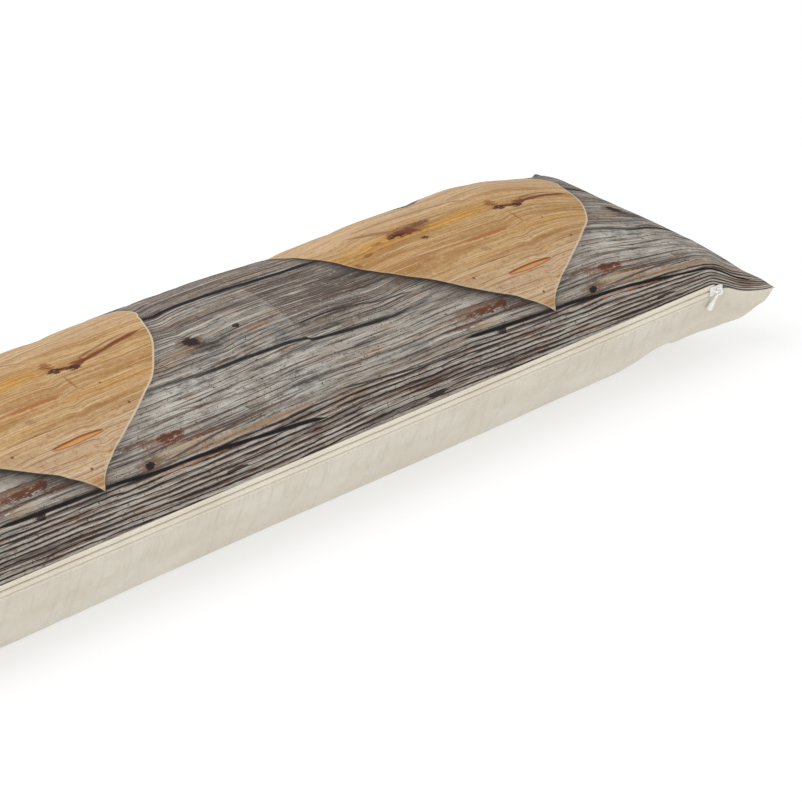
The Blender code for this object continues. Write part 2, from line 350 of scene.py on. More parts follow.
def board_grain(p, colour, bend):
    """Streaks, crisp hairlines and the worn-out soft wood between the lowest board's dark rings."""
    net, s = p.net, p.s
    wide = p.grain(95, 3.2, 4, 0.62, bend)
    middle = p.grain(75, 1.5, 4, 0.64, bend)
    fine = p.grain(40, 0.75, 3, 0.66, bend)
    speck = p.grain(1.7, 1.3, 2, 0.6)
    black, dark, light = ink(34, 27, 26), ink(60, 46, 40), ink(222, 216, 205)
    hair = p.lines(2.7, bend + wide * 2, -0.25, 0.75)
    low = net.smooth(s, 28, 22) + net.smooth(s, 168, 176)
    edge = p.lines(2.7, bend * 0.6 + (p.wander - 0.5) * 2.2 + 0.8, -0.6, 0.9)
    rings = p.lines(2.7, bend * 0.6 + (p.wander - 0.5) * 2.2, 0.45, 1.5)
    layers = [
        (net.smooth(wide, 0.47, 0.37) * 0.55, ink(94, 78, 68)),
        (net.smooth(middle, 0.46, 0.38) * 0.7, dark),
        (net.smooth(middle, 0.54, 0.64) * 0.5, light),
        (net.smooth(fine, 0.45, 0.37) * 0.65, dark),
        (net.smooth(fine, 0.56, 0.66) * 0.45, light),
        (hair * net.smooth(s, 22, 30) * 0.75, dark),
        (edge * low * 0.75, ink(116, 72, 50)),
        (rings * low * 0.95, ink(44, 29, 25)),
        (net.smooth(speck, 0.64, 0.7) * 0.75, black),
    ]
    return net.layered(colour, layers)


def board_marks(p, colour):
    """Rust, nail holes, knots and pale scrapes."""
    rust, red, black, shadow = ink(96, 54, 36), ink(126, 56, 30), ink(34, 28, 27), ink(52, 42, 38)
    marks = [
        ((-46, 39, 20, 3.6, 1.0, 0.5), 0.65, ink(134, 96, 74)),
        ((-40, 37.6, 14, 2.2, 1.2, 0.3), 0.85, rust),
        ((-34, 39.2, 8, 0.8, 1.1, 0.3), 0.8, red),
        ((-20, 34, 13, 1.6, 0.9, 0.4), 0.75, rust),
        ((-58, 33, 12, 1.3, 0.9, 0.4), 0.75, rust),
        ((42, 36, 11, 2.8, 1.1, 0.4), 0.6, ink(130, 88, 66)),
        ((46, 36.6, 8, 1.5, 1.2, 0.3), 0.9, rust),
        ((47, 34.0, 6, 0.8, 1.1, 0.3), 0.85, red),
        ((26, 38.5, 10, 1.0, 0.9, 0.4), 0.7, rust),
        ((60, 31, 14, 1.0, 0.9, 0.5), 0.7, ink(120, 66, 44)),
        ((46, 28.8, 17, 2.4, 1.3, 0.7), 0.5, ink(190, 164, 130)),
        ((-46, 30.5, 9, 1.8, 1.3, 0.7), 0.5, ink(188, 158, 122)),
        ((88, 24.8, 40, 1.5, 1.3, 0.8), 0.55, ink(184, 146, 108)),
        ((56, 20.2, 26, 1.4, 1.3, 0.8), 0.45, ink(176, 118, 76)),
        ((93, 82.5, 7.5, 5.6, 0.8, 0.8), 0.7, ink(96, 66, 50)),
        ((93, 82.5, 4.2, 4.0, 0.6, 0.4), 0.95, ink(46, 30, 26)),
        ((97, 75, 12, 3.2, 0.8, 0.5), 0.5, shadow),
        ((122, 82, 2.2, 1.6, 0.4, 0.4), 0.9, black),
        ((130, 77, 10, 1.5, 1.3, 0.6), 0.6, ink(150, 108, 72)),
        ((84, 77, 8, 2.4, 1.1, 0.9), 0.4, ink(164, 130, 98)),
        ((30, 27, 8, 3.2, 1.2, 0.7), 0.6, ink(116, 74, 52)),
        ((29, 26.3, 2.9, 1.9, 0.6, 0.35), 0.95, black),
        ((-38.5, 24, 3.0, 1.6, 0.9, 0.5), 0.9, black),
        ((76, 8.5, 7, 1.0, 0.5, 0.4), 0.9, black),
        ((-91, 4.5, 7, 1.6, 0.5, 0.4), 0.9, black),
    ]
    return p.stained(colour, marks)


def board_cracks(p, colour):
    """The gaps between the boards, which run right along the print, and the cracks in them."""
    net = p.net
    black = ink(26, 24, 25)
    upper_gap = [(-150, 115.5), (-104, 114.5), (-50, 116), (20, 118), (88, 117.3), (137, 116), (150, 115.5)]
    middle_gap = [
        (-150, 58), (-93, 54.5), (-60, 59), (-30, 61), (10, 61), (51, 62), (90, 60.2), (112, 60), (150, 58),
    ]  # fmt: skip
    back_gap = [(-150, 171), (-60, 169), (40, 172), (150, 171)]
    away_from_heart = net.smooth(abs(p.x + 5), 35, 105)
    colour = net.mix(p.along(upper_gap, 3.2), colour, black)
    colour = net.mix(p.along(middle_gap, 1.9, 0.5, 0.95) * away_from_heart, colour, black)
    colour = net.mix(p.along(back_gap, 1.8), colour, black)
    lower = [(-66, 27.3), (-40, 26), (0, 24.8), (32, 22.4), (70, 21), (85, 19.8), (122, 17.2), (140, 14.5)]
    branch = [(36, 25.5), (50, 26.5), (70, 28.5), (95, 30.5), (128, 31.5)]
    cracks = [
        (lower, (1.8, 0.4), black),
        ([(-150, 26), (-120, 24), (-84, 22), (-60, 24.5)], (0.9, 0.4, 0.8), black),
        (branch, (1.0, 0.4, 0.8), ink(84, 58, 46)),
        ([(-150, 67), (-125, 69.5), (-96, 66.5), (-70, 63)], (0.9, 0.4, 0.75), black),
        ([(52, 48), (80, 44), (110, 42), (146, 38)], (0.7, 0.6, 0.6), ink(80, 66, 58)),
    ]
    return p.cracked(colour, cracks)


def boards(p):
    bend = (p.grain(110, 34, 1) - 0.5) * 6 + p.ring[1] * 2
    colour = board_colours(p, bend)
    colour = board_grain(p, colour, bend)
    colour = board_marks(p, colour)
    return board_cracks(p, colour)


def heart_colours(p, bend):
    """Pale pine, yellower across the middle and greyer towards the tip, with fine reddish grain."""
    net, s = p.net, p.s
    broad = p.grain(80, 7, 4, 0.6, bend)
    fine = p.grain(75, 1.0, 4, 0.64, bend)
    hair = p.grain(38, 0.55, 3, 0.66, bend)
    mottle = p.grain(3.2, 1.8, 4, 0.74)
    band = net.smooth(abs(s - 106 + bend * 0.2), 9, 2) * net.smooth(p.x, 30, 0)
    gold = net.smooth(broad, 0.55, 0.65) * net.smooth(s, 125, 100) * 0.6
    pores = p.lines(2.7, bend * 0.9 + broad * 2, -0.5, 0.6)
    colour = net.mix(net.smooth(broad, 0.38, 0.62), ink(176, 134, 82), ink(203, 167, 119))
    layers = [
        (net.smooth(s, 74, 36) * 0.8, ink(212, 188, 158)),
        # Painted light: the heart is made lighter towards the crest, where the light grazes the top
        (net.smooth(s, 112, 130) * 0.6, ink(218, 188, 152)),
        (band * net.smooth(broad, 0.38, 0.56) * 0.85, ink(206, 152, 54)),
        (gold, ink(196, 146, 66)),
        (net.smooth(mottle, 0.48, 0.36) * 0.5, ink(158, 112, 66)),
        (net.smooth(mottle, 0.56, 0.66) * 0.4, ink(226, 200, 158)),
        (net.smooth(fine, 0.47, 0.39) * 0.5, ink(156, 106, 64)),
        (net.smooth(fine, 0.54, 0.64) * 0.5, ink(230, 206, 170)),
        (net.smooth(hair, 0.44, 0.36) * 0.45, ink(140, 90, 56)),
        (pores * net.smooth(s, 90, 70) * 0.6, ink(146, 80, 52)),
    ]
    return net.layered(colour, layers)


def heart_marks(p, colour):
    """Dark veins, a stained knot on the left, a split knot on the right and a few pin knots."""
    brown, dark, grey = ink(116, 58, 30), ink(74, 38, 24), ink(142, 112, 88)
    veins = [
        ([(-70, 129), (-62, 122.5), (-50, 117), (-40, 113)], (3.4, 0.9, 0.6), ink(122, 90, 64)),
        ([(-64, 129.5), (-30, 128.5), (0, 126), (11, 122), (17, 115), (21, 107)], (2.2, 0.8, 0.6), grey),
        ([(4, 127), (20, 130), (40, 131.5), (70, 133.5), (92, 135)], (1.6, 0.8, 0.5), grey),
        ([(-88, 86), (-60, 84), (-30, 82), (14, 81)], (1.3, 0.5, 0.6), ink(160, 104, 66)),
    ]
    stains = [
        ((-4, 81.4, 15, 1.6, 0.7, 0.5), 0.7, ink(168, 104, 58)),
        ((-37, 109.5, 15, 5.4, 0.7, 0.5), 0.8, ink(138, 96, 62)),
        ((-41, 108.2, 9.5, 3.8, 0.9, 0.3), 0.9, brown),
        ((-28.5, 111.5, 8, 2.6, 0.9, 0.4), 0.8, ink(112, 76, 52)),
        ((-45, 107.4, 5, 1.6, 1.0, 0.3), 0.9, dark),
        ((-36, 96.5, 2.8, 1.5, 1.0, 0.5), 0.85, dark),
        ((-97, 111, 3.0, 2.2, 0.4, 0.4), 0.9, dark),
        ((-72, 102, 3, 1.3, 1.2, 0.7), 0.6, brown),
        ((-60, 107, 3, 1.3, 1.2, 0.7), 0.6, brown),
        ((-83, 96, 2, 2.4, 0.6, 0.5), 0.6, ink(150, 84, 50)),
        ((-14, 71.5, 4, 1.6, 1.3, 0.8), 0.35, ink(130, 92, 70)),
    ]
    split_knot = [
        ([(33, 99), (50, 102), (65, 105), (84, 108.5)], (2.7, 0.7, 0.9), brown),
        ([(33, 101), (44, 105), (58, 108), (76, 110.5)], (1.4, 0.8, 0.6), brown),
        ([(15, 111), (20, 105), (24, 99.5), (32, 98), (44, 101.5)], (3.2, 0.9, 0.9), brown),
    ]
    knot_cores = [
        ((20.5, 106.5, 3.4, 3.6, 1.4, 0.6), 0.7, ink(132, 72, 38)),
        ((21, 99.6, 4.2, 2.2, 1.4, 0.4), 0.95, dark),
        ((31, 97.2, 4.0, 2.2, 1.4, 0.4), 0.95, dark),
        ((37, 100.6, 6, 1.8, 0.9, 0.4), 0.85, brown),
        ((21, 87, 0.8, 6, 0.6, 0.4), 0.6, ink(150, 92, 56)),
    ]
    pins = ((-36.5, 57, 0.8), (37.6, 61, 0.8), (-2, 36, 0.8), (33, 79, 0.7), (-66, 70, 0.7))
    colour = p.stained(p.cracked(colour, veins), stains)
    colour = p.stained(p.cracked(colour, split_knot), knot_cores)
    return p.stained(colour, [((x, s, size, size, 0.3, 0.6), 0.8, brown) for x, s, size in pins])


def heart_slit(p, colour):
    """A short split with dark red lips round a yellow sliver."""
    net, s = p.net, p.s
    half = 16.5
    reach = net.math("MAXIMUM", 1 - (p.x / half) * (p.x / half), 0)

    def lip(base, lift, width):
        away = abs(s - base - reach * lift)
        return net.smooth(away, width, width * 0.35) * net.smooth(reach, 0.02, 0.3) * 0.85

    sliver = net.smooth(abs(s - 52.3), 1.3, 0.5) * net.smooth(reach, 0.15, 0.6) * 0.75
    layers = [
        (sliver, ink(216, 152, 66)),
        (lip(52.4, 1.2, 0.8), ink(132, 54, 28)),
        (lip(51.8, -1.0, 0.5), ink(166, 94, 56)),
    ]
    return net.layered(colour, layers)


HEART_MIDDLE = (0.0, 105.0)
TIP = (0.0, 23.3)
HEART = [  # mm, from the tip up the left side, round both lobes and down the right side
    TIP, (-6, 29), (-15, 35.5), (-25, 42), (-46, 55), (-71, 76), (-90, 103.5), (-98, 131),
    (-100, 143), (-97, 158), (-86, 170), (-70, 174), (-48, 170), (-26, 159), (-13, 149.5), (-5, 144.5),
    (4, 150), (18, 160.5), (36, 168.5), (56, 170), (76, 164), (90, 152), (95.5, 138), (91, 122),
    (80.5, 98), (60, 71), (35, 53), (20, 43.5), (10, 36.5), (3.5, 30.5), TIP,
]  # fmt: skip


def heart_depth(p):
    """How far inside the heart's edge a point is, in mm; less than 0 outside."""
    net, (middle_x, middle_s) = p.net, HEART_MIDDLE
    right, up = p.x - middle_x, p.s - middle_s
    reach = net.math("SQRT", right * right + up * up)
    turn = net.math("ARCTAN2", right, up)
    from_middle = [(x - middle_x, s - middle_s) for x, s in HEART]
    outline = [(math.atan2(across, along), math.hypot(across, along)) for across, along in from_middle]
    outline[0] = (-math.pi, outline[0][1])
    edge = net.curve(turn, -math.pi, math.pi, outline)
    return edge - reach


def printed_cotton():
    net = Net("printed_cotton", 0.85)
    p = Picture(net)
    depth = heart_depth(p)
    outside = boards(p)
    left = net.smooth(p.x, 20, -30, 0.25, 1.0)
    outside = net.mix(net.smooth(-depth, 13, 0) * left * 0.75, outside, ink(50, 42, 39))
    outside = net.mix(net.smooth(-depth, 4, -0.5) * left * 0.9, outside, ink(32, 29, 28))
    bend = (p.grain(70, 30, 1) - 0.5) * 5 + net.smooth(abs(p.x - 12), 7, 0) * 1.3
    inside = heart_slit(p, heart_marks(p, heart_colours(p, bend)))
    rim = net.smooth(depth, 1.4, 0.5) * net.smooth(p.x, -40, 40, 0.25, 0.85)
    inside = net.mix(rim, inside, ink(220, 204, 176))
    colour = net.mix(net.smooth(depth, -0.35, 0.35), outside, inside)
    threads = weave(net, p.across, p.s, PRINT_THREAD)
    # Painted highlight: the tops of the threads are made a little paler
    colour = net.mix(net.smooth(threads, 0.25, 0.85) * 0.02, colour, ink(235, 232, 225))
    # Painted shade: the hollows between the threads are darkened
    colour = net.mix(net.smooth(threads, 0.5, 0.1) * 0.3, colour, tone(190, 180, 172), "MULTIPLY")
    return net.finish(colour, threads, distance=0.00025, strength=0.5)


# ---------------------------------------------------------------- plain cloths


def weave(net, x, s, pitch):
    """Height of a plain weave with uneven threads, about 0 to 1."""
    turn = math.pi / pitch
    over = net.math("SINE", x * turn) * net.math("SINE", s * turn)
    along = net.noise(net.point(x / (pitch * 14), s / pitch, 3.0), 1)
    across = net.noise(net.point(x / pitch, s / (pitch * 14), 9.0), 1)
    return over * 0.22 + (along + across) * 0.5


def woven(name, colour, dark, pale, pitch, roughness=0.9, strength=0.6, puckers=0):
    """Undyed cloth: a weave, slubs, a faint unevenness of tone, creases and puckers along its zip seam. The
    weave's hollows, the puckers and the creases are darkened with dark, which is painted shade.
    """
    net = Net(name, roughness)
    x, s = net.fabric()
    threads = weave(net, x, s, pitch)
    cloud = net.noise(net.point(x / 42, s / 26, 1.0), 3)
    slub = net.noise(net.point(x / 17, s / (pitch * 0.8), 5.0), 2)
    made = net.mix(net.smooth(cloud, 0.3, 0.7), colour, pale)
    # Painted shade: the weave's hollows are darkened
    made = net.mix(net.smooth(threads, 0.55, 0.25) * 0.55, made, dark)
    made = net.mix(net.smooth(slub, 0.6, 0.75) * 0.4, made, pale)
    net.shader.inputs["Sheen Weight"].default_value = 0.15
    height = threads + slub * 0.5
    if puckers:
        pucker = net.noise(net.point(x / 2.6, s / 24, 7.0), 2) * net.smooth(s, 30, 6)
        height = height + pucker * puckers
        # Painted shade: the hollows of the puckers are darkened
        made = net.mix(net.smooth(pucker, 0.42, 0.2) * net.smooth(s, 30, 6) * 0.4, made, dark)
        crease = net.smooth(abs(net.noise(net.point(x / 22, s / 150, 2.0), 1) - 0.5), 0.03, 0.0)
        height = height - crease * (puckers * 0.5)
        # Painted shade: the creases are darkened along their grooves
        made = net.mix(crease * 0.08, made, dark)
    return net.finish(made, height, distance=0.0003, strength=strength)


# light above 1 makes a lighter copy of the canvas, which is painted light
def canvas_cloth(name, light=1.0):
    # dark is painted shade for the weave's hollows, puckers and creases
    plain, dark, pale = (tone(*c, light) for c in ((217, 209, 193), (190, 181, 163), (224, 218, 205)))
    return woven(name, plain, dark, pale, 0.62, puckers=3)


def wadding(name):
    """Loose white fibre: fine tangled strands."""
    net = Net(name, 0.95)
    x, y, z = net.place()
    tangle = net.noise(net.point(x * 0.5, y * 0.5, z * 0.5), 6, 0.7, 2.0)
    strands = net.noise(net.point(x * 0.25, y * 1.3, z * 1.3), 4, 0.6, 3.0)
    colour = net.mix(net.smooth(tangle, 0.3, 0.7), tone(226, 226, 224), tone(247, 247, 246))
    colour = net.mix(net.smooth(strands, 0.62, 0.72) * 0.5, colour, tone(208, 208, 206))
    return net.finish(colour, tangle + strands, distance=0.001, strength=0.7)


def moulded(name, colour, roughness):
    """Moulded or lacquered surface: even colour with faint mottling and fine orange peel."""
    net = Net(name, roughness)
    x, y, z = net.place()
    mottle = net.noise(net.point(x * 0.8, y * 0.8, z * 0.8), 3, 0.6)
    peel = net.noise(net.point(x * 6, y * 6, z * 6), 2)
    darker = tuple(c * 0.93 for c in colour)
    paint = net.mix(net.smooth(mottle, 0.35, 0.65), tone(*darker), tone(*colour))
    rough = net.smooth(mottle, 0.3, 0.7, roughness * 0.85, roughness * 1.2)
    net.shader.inputs["Coat Weight"].default_value = 0.15
    return net.finish(paint, peel, distance=0.00003, strength=0.4, roughness=rough)


def simple(name, colour, roughness=0.9):
    made = bpy.data.materials.new(name)
    made.use_nodes = True
    shader = made.node_tree.nodes["Principled BSDF"]
    shader.inputs["Base Color"].default_value = (*colour, 1)
    shader.inputs["Roughness"].default_value = roughness
    return made


# ---------------------------------------------------------------- shape


def seam_gap(x, v):
    """Half the gap between the panels, which the zip's tapes fill and which closes past the slider."""
    along_zip = 1 - smooth(abs(x), SLIDER_X, SLIDER_X + 0.0045)
    return (TAPE_TOP + 0.0002) * along_zip * smooth(-v, 0.9, 1.0)


def seam_height(x, v):
    """The slack corners droop just past the zip's ends and lift again at their tips."""
    tip = smooth(abs(x), HALF_LENGTH - 0.01, HALF_LENGTH)
    droop = smooth(abs(x), ZIP_END - 0.002, ZIP_END + 0.008) * (1 - 0.4 * tip)
    return -SEAM_DROOP * droop * smooth(-v, 0.45, 1.0)


def underside(x):
    """Height of the lowest cloth: on the floor, but lifted off it in one fold towards each end."""
    return END_LIFT * smooth(abs(x), LIFT_FROM, LIFT_TO) - END_FOLD * hump(abs(x), FOLD_X, FOLD_WIDTH)


def stuffing(x):
    """How the fill is a little thinner between the hearts, and bunched up near the ends."""
    dips = hump(x, 0.205, 0.045) + 0.7 * hump(x, -0.09, 0.06) + 0.9 * hump(x, -0.31, 0.05)
    return 0.0045 * hump(abs(x), 0.34, 0.032) - 0.0035 * dips


def cushion(u, v, top, inset=(0, 0, 0), flare=CORNER_FLARE):
    """Points of the stuffed shape at (u, v), each from -1 to 1 along the length and across it."""
    inset_x, inset_y, inset_z = inset
    length = HALF_LENGTH - inset_x
    x = u * (length - END_PULL_IN * (1 - v * v))
    ear = flare * smooth(abs(u) * length, FLARE_START - inset_x, length)
    y = v * (HALF_WIDTH - inset_y + ear * v * v)
    fullness = (1 - abs(u) ** END_POWER).clip(0) ** END_ROUNDING
    across = (1 - abs(v) ** SIDE_POWER).clip(0)
    gap = seam_gap(x, v) if inset_y == 0 else 0
    seam = CENTRE_Z + (seam_height(x, v) if inset_y == 0 else 0)
    if top:
        rise = THICKNESS - CENTRE_Z - inset_z + stuffing(x)
        z = seam + gap + (rise - gap) * fullness * across**SIDE_ROUNDING
    else:
        fuller = (1 - abs(u) ** BELLY_END_POWER).clip(0) ** BELLY_END_ROUNDING
        depth = BELLY_DEPTH * (1 + BELLY_FULLER_LEFT * smooth(x, 0.2, -0.3))
        hanging = seam - gap - (depth - gap) * fuller * across**BELLY_ROUNDING
        z = np.maximum(hanging, inset_z + underside(x))
    corner = smooth(abs(u), 0.985, 1.0) * smooth(abs(v), 0.9, 1.0)
    return np.stack([x * (1 - 0.008 * corner), y, z], -1)


def even(count, profile):
    """Parameters from -1 to 1 that lie evenly along a profile, and the length along it at each."""
    fine = np.sin(np.linspace(-1, 1, 2001) * math.pi / 2)
    points = profile(fine)
    length = np.r_[0, np.cumsum(np.linalg.norm(np.diff(points, axis=0), axis=1))]
    where = np.linspace(0, length[-1], count)
    return np.interp(where, length, fine), where


def side_grid(top, **shape):
    """(points, fabric coordinates in mm) of one side of the cushion, as COLUMNS by ROWS arrays.
    The cloth lies a little askew at the right end."""
    us, along = even(COLUMNS, lambda t: cushion(t, 0 * t, True, **shape))
    vs, over = even(ROWS, lambda t: cushion(0 * t, t, top, **shape))
    u, v = np.meshgrid(us, vs, indexing="ij")
    points = cushion(u, v, top, **shape)
    excess = (along - along[-1] / 2 - cushion(us, 0 * us, True, **shape)[:, 0])[:, None]
    x = points[..., 0] + excess * (1 - v * v)
    askew = 0.0018 * smooth(points[..., 0], 0.2, 0.29) * smooth(-v, 0.2, 0.8)
    s = over + askew
    return points, np.stack([x, s], -1) / MM


def quads(index):
    """Faces over a grid of vertex numbers."""
    corners = index[:-1, :-1], index[1:, :-1], index[1:, 1:], index[:-1, 1:]
    return np.stack(corners, -1).reshape(-1, 4)


def mesh_object(name, points, faces, material=None):
    mesh = bpy.data.meshes.new(name)
    mesh.from_pydata(points.reshape(-1, 3).tolist(), [], faces.tolist())
    mesh.shade_smooth()
    if material:
        mesh.materials.append(material)
    obj = bpy.data.objects.new(name, mesh)
    bpy.context.scene.collection.objects.link(obj)
    return obj


def grid_object(name, points, fabric, material, up=True):
    """A sheet over a grid of points, which carries its fabric coordinates."""
    index = np.arange(points.shape[0] * points.shape[1]).reshape(points.shape[:2])
    faces = quads(index)
    obj = mesh_object(name, points, faces if up else faces[:, ::-1], material)
    layer = obj.data.attributes.new("fabric", "FLOAT_VECTOR", "POINT")
    flat = np.concatenate([fabric, np.zeros(fabric.shape[:2] + (1,))], -1)
    layer.data.foreach_set("vector", flat.astype(np.float32).ravel())
    return obj


def apply_modifiers(obj):
    graph = bpy.context.evaluated_depsgraph_get()
    shaped = obj.evaluated_get(graph)
    mesh = bpy.data.meshes.new_from_object(shaped, preserve_all_data_layers=True, depsgraph=graph)
    obj.modifiers.clear()
    obj.data = mesh
    mesh.shade_smooth()
    return obj


def thicken(obj, thickness, subdivide=0):
    if subdivide:
        finer = obj.modifiers.new("Finer", "SUBSURF")
        finer.levels = finer.render_levels = subdivide
        finer.boundary_smooth = "PRESERVE_CORNERS"
    cloth = obj.modifiers.new("Cloth thickness", "SOLIDIFY")
    cloth.thickness = thickness
    cloth.offset = -1
    return apply_modifiers(obj)


# ---------------------------------------------------------------- cloth simulation


def sewn(top, bottom):
    """Two grids of points sewn together round their rims: points, faces, and each side's vertex numbers."""
    index_top = np.arange(COLUMNS * ROWS).reshape(COLUMNS, ROWS)
    index_bottom = index_top.copy()
    inner = index_bottom[1:-1, 1:-1]
    inner[:] = COLUMNS * ROWS + np.arange(inner.size).reshape(inner.shape)
    points = np.concatenate([top.reshape(-1, 3), bottom[1:-1, 1:-1].reshape(-1, 3)])
    faces = np.concatenate([quads(index_top), quads(index_bottom)[:, ::-1]])
    return points, faces, index_top, index_bottom


def inflate(top, bottom):
    """Blows up both sides of the cover as one closed cloth that is a little too big for its seams.
    Returns how far each point of each side moved."""
    start, faces, index_top, index_bottom = sewn(top, bottom)
    obj = mesh_object("simulated_cover", start, faces)
    rim = np.setdiff1d(index_top, index_top[1:-1, 1:-1])
    obj.vertex_groups.new(name="seams").add(rim.tolist(), 1.0, "REPLACE")
    cloth = obj.modifiers.new("Cloth", "CLOTH")
    settings = cloth.settings
    settings.quality = 5
    settings.mass = 0.1
    settings.tension_stiffness = 12
    settings.compression_stiffness = 5
    settings.shear_stiffness = 3
    settings.bending_stiffness = 0.12
    settings.shrink_min = -CLOTH_EASE
    settings.use_pressure = True
    settings.uniform_pressure_force = 4
    settings.vertex_group_mass = "seams"
    settings.effector_weights.gravity = 0
    scene = bpy.context.scene
    for step in range(1, 21):
        scene.frame_set(step)
    graph = bpy.context.evaluated_depsgraph_get()
    moved = np.empty(len(start) * 3, np.float32)
    obj.evaluated_get(graph).data.vertices.foreach_get("co", moved)
    bpy.data.objects.remove(obj)
    scene.frame_set(1)
    shift = moved.reshape(-1, 3) - start
    return shift[index_top], shift[index_bottom]


def blurred(values, cells):
    """The array smoothed over a grid, by this many cells each way."""
    reach = np.arange(-3 * cells, 3 * cells + 1)
    weights = np.exp(-0.5 * (reach / cells) ** 2)
    weights /= weights.sum()
    for axis in (0, 1):
        before, after = (values.take([end] * 3 * cells, axis) for end in (0, -1))
        padded = np.concatenate([before, values, after], axis)
        values = sum(w * padded.take(range(k, k + values.shape[axis]), axis) for k, w in enumerate(weights))
    return values


def folds(shift):
    """The wrinkles of a simulated side, without its overall swelling, capped at FOLD_CAP."""
    wrinkle = shift - blurred(shift, 5)
    size = np.linalg.norm(wrinkle, axis=-1, keepdims=True)
    return wrinkle * np.minimum(1, FOLD_CAP / np.maximum(size, 1e-9))


# ---------------------------------------------------------------- the cover


def seam_hold(shape, rows_in=3.0):
    """0 on a grid's rim, rising to 1 a few cells in: seams hold the folds down."""
    away = [np.minimum(np.arange(n), np.arange(n)[::-1]) for n in shape]
    return smooth(np.minimum(away[0][:, None], away[1][None, :]), 0, rows_in)


def resting(z):
    """The cushion's own weight presses folds flat where it lies on the floor."""
    return 0.25 + 0.75 * smooth(z, 0.001, 0.02)


def wrinkled_sides():
    """Both sides of the cover, as (points, fabric coordinates) by top or not, with the simulated folds."""
    sides = {top: side_grid(top) for top in (True, False)}
    moved = inflate(sides[True][0], sides[False][0])
    for (points, _), shift, share in zip(sides.values(), moved, (TOP_FOLDS, BELLY_FOLDS)):
        points += folds(shift) * (share * seam_hold(points.shape[:2]) * resting(points[..., 2]))[..., None]
    return sides


def cover_sheet(name, top, points, fabric, material):
    points[..., 2] = np.maximum(points[..., 2], 0)
    sheet = grid_object(name, points, fabric, material, up=top)
    thicken(sheet, CLOTH, subdivide=1)
    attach(sheet, "cover")
    return sheet


def build_cover():
    sides = wrinkled_sides()
    printed = cover_sheet("printed_top", True, *sides[True], printed_cotton())
    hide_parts("printed_panel")

    canvas = cover_sheet("canvas_back", False, *sides[False], canvas_cloth("ecru_canvas"))
    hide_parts("canvas_panel")
    # Painted light: the hem is the same canvas, made 8% lighter
    hem_cloth_painted_lighter = canvas_cloth("canvas_hem", light=1.08)
    hem = band("canvas_hem", HEM_SECTION, -1, SLIDER_X + 0.001, hem_cloth_painted_lighter, 0.0004)


def build_inside():
    """The casing and the fibre in it, each set in from the one outside it."""
    # The second tone is painted shade for the weave's hollows
    cloth = woven("casing_cloth", tone(238, 238, 236), tone(205, 205, 202), tone(246, 246, 245), 0.5)
    for name, top, node, drop in (
        ("inner_casing_top", True, "casing_top", 0.007),
        ("inner_casing_bottom", False, "casing_bottom", 0.003),
    ):
        points, fabric = side_grid(top, inset=(0.012, 0.009, drop), flare=0.004)
        points[..., 2] -= lumps(points, 0.0006)
        casing = grid_object(name, points, fabric, cloth, up=top)
        thicken(casing, 0.0005)
        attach(casing, "cover")
        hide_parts(node)

    inset = (0.018, 0.014, 0.010)
    top, bottom = (side_grid(side, inset=inset, flare=0)[0] for side in (True, False))
    top[..., 2] -= lumps(top, 0.0015)
    bottom[..., 2] += lumps(bottom, 0.0008)
    points, faces = sewn(top, bottom)[:2]
    fill = mesh_object("fibre_fill", points, faces, wadding("polyester_fibre"))
    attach(fill, "cover")
    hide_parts("fibre_filling")


def lumps(points, size):
    """A smooth, uneven height from 0 to size over the points."""
    x, y = points[..., 0], points[..., 1]
    waves = [np.sin(x * 61 + 1.3 * np.sin(y * 47)), np.sin(y * 83 + x * 29), np.sin(x * 131 - y * 59)]
    edge = seam_hold(points.shape[:2])
    return size * edge * (0.5 + sum(waves) / 6)


# ---------------------------------------------------------------- the zip


# Cross-sections along the zip, as (out, up) in mm from the zip's face and centre line
TAPE_SECTION = [
    (-6.2, 2.62), (-3.2, 2.62), (-1.2, 2.75), (-0.3, 2.88), (0.15, 2.6), (0.34, 2.2), (0.3, 1.86),
    (0.08, 1.66), (0.3, 1.46), (0.32, 1.1), (0.02, 0.7), (-0.5, 0.62), (-1.0, 0.76),
]  # fmt: skip
HEM_SECTION = [
    (-1.2, 3.3), (-0.3, 3.2), (0.35, 3.35), (0.7, 3.9), (0.72, 4.6), (0.45, 5.3), (-0.1, 5.75), (-0.7, 5.9),
]  # fmt: skip


def band(name, section, side, half_length, material, thickness):
    """A folded strip of cloth along the zip, above its centre line (side 1) or below it (side -1)."""
    xs = np.linspace(-half_length, half_length, 240)
    out, up = (np.array(values) * MM for values in zip(*section))
    width = np.r_[0, np.cumsum(np.hypot(np.diff(out), np.diff(up)))] / MM
    shape = (len(xs), len(out))
    x = np.broadcast_to(xs[:, None], shape)
    ripple = 0.00006 * (1 + np.sin(x * 310 + np.sin(x * 87) * 2))
    sunk = 0.0016 * smooth(abs(x), half_length - 0.006, half_length)
    points = np.stack([x, -HALF_WIDTH - out + ripple + sunk, CENTRE_Z + side * up + 0 * x], -1)
    fabric = np.stack([x / MM, np.broadcast_to(width, shape)], -1)
    strip = grid_object(name, points, fabric, material, up=side > 0)
    thicken(strip, thickness, subdivide=1)
    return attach(strip, "cover")


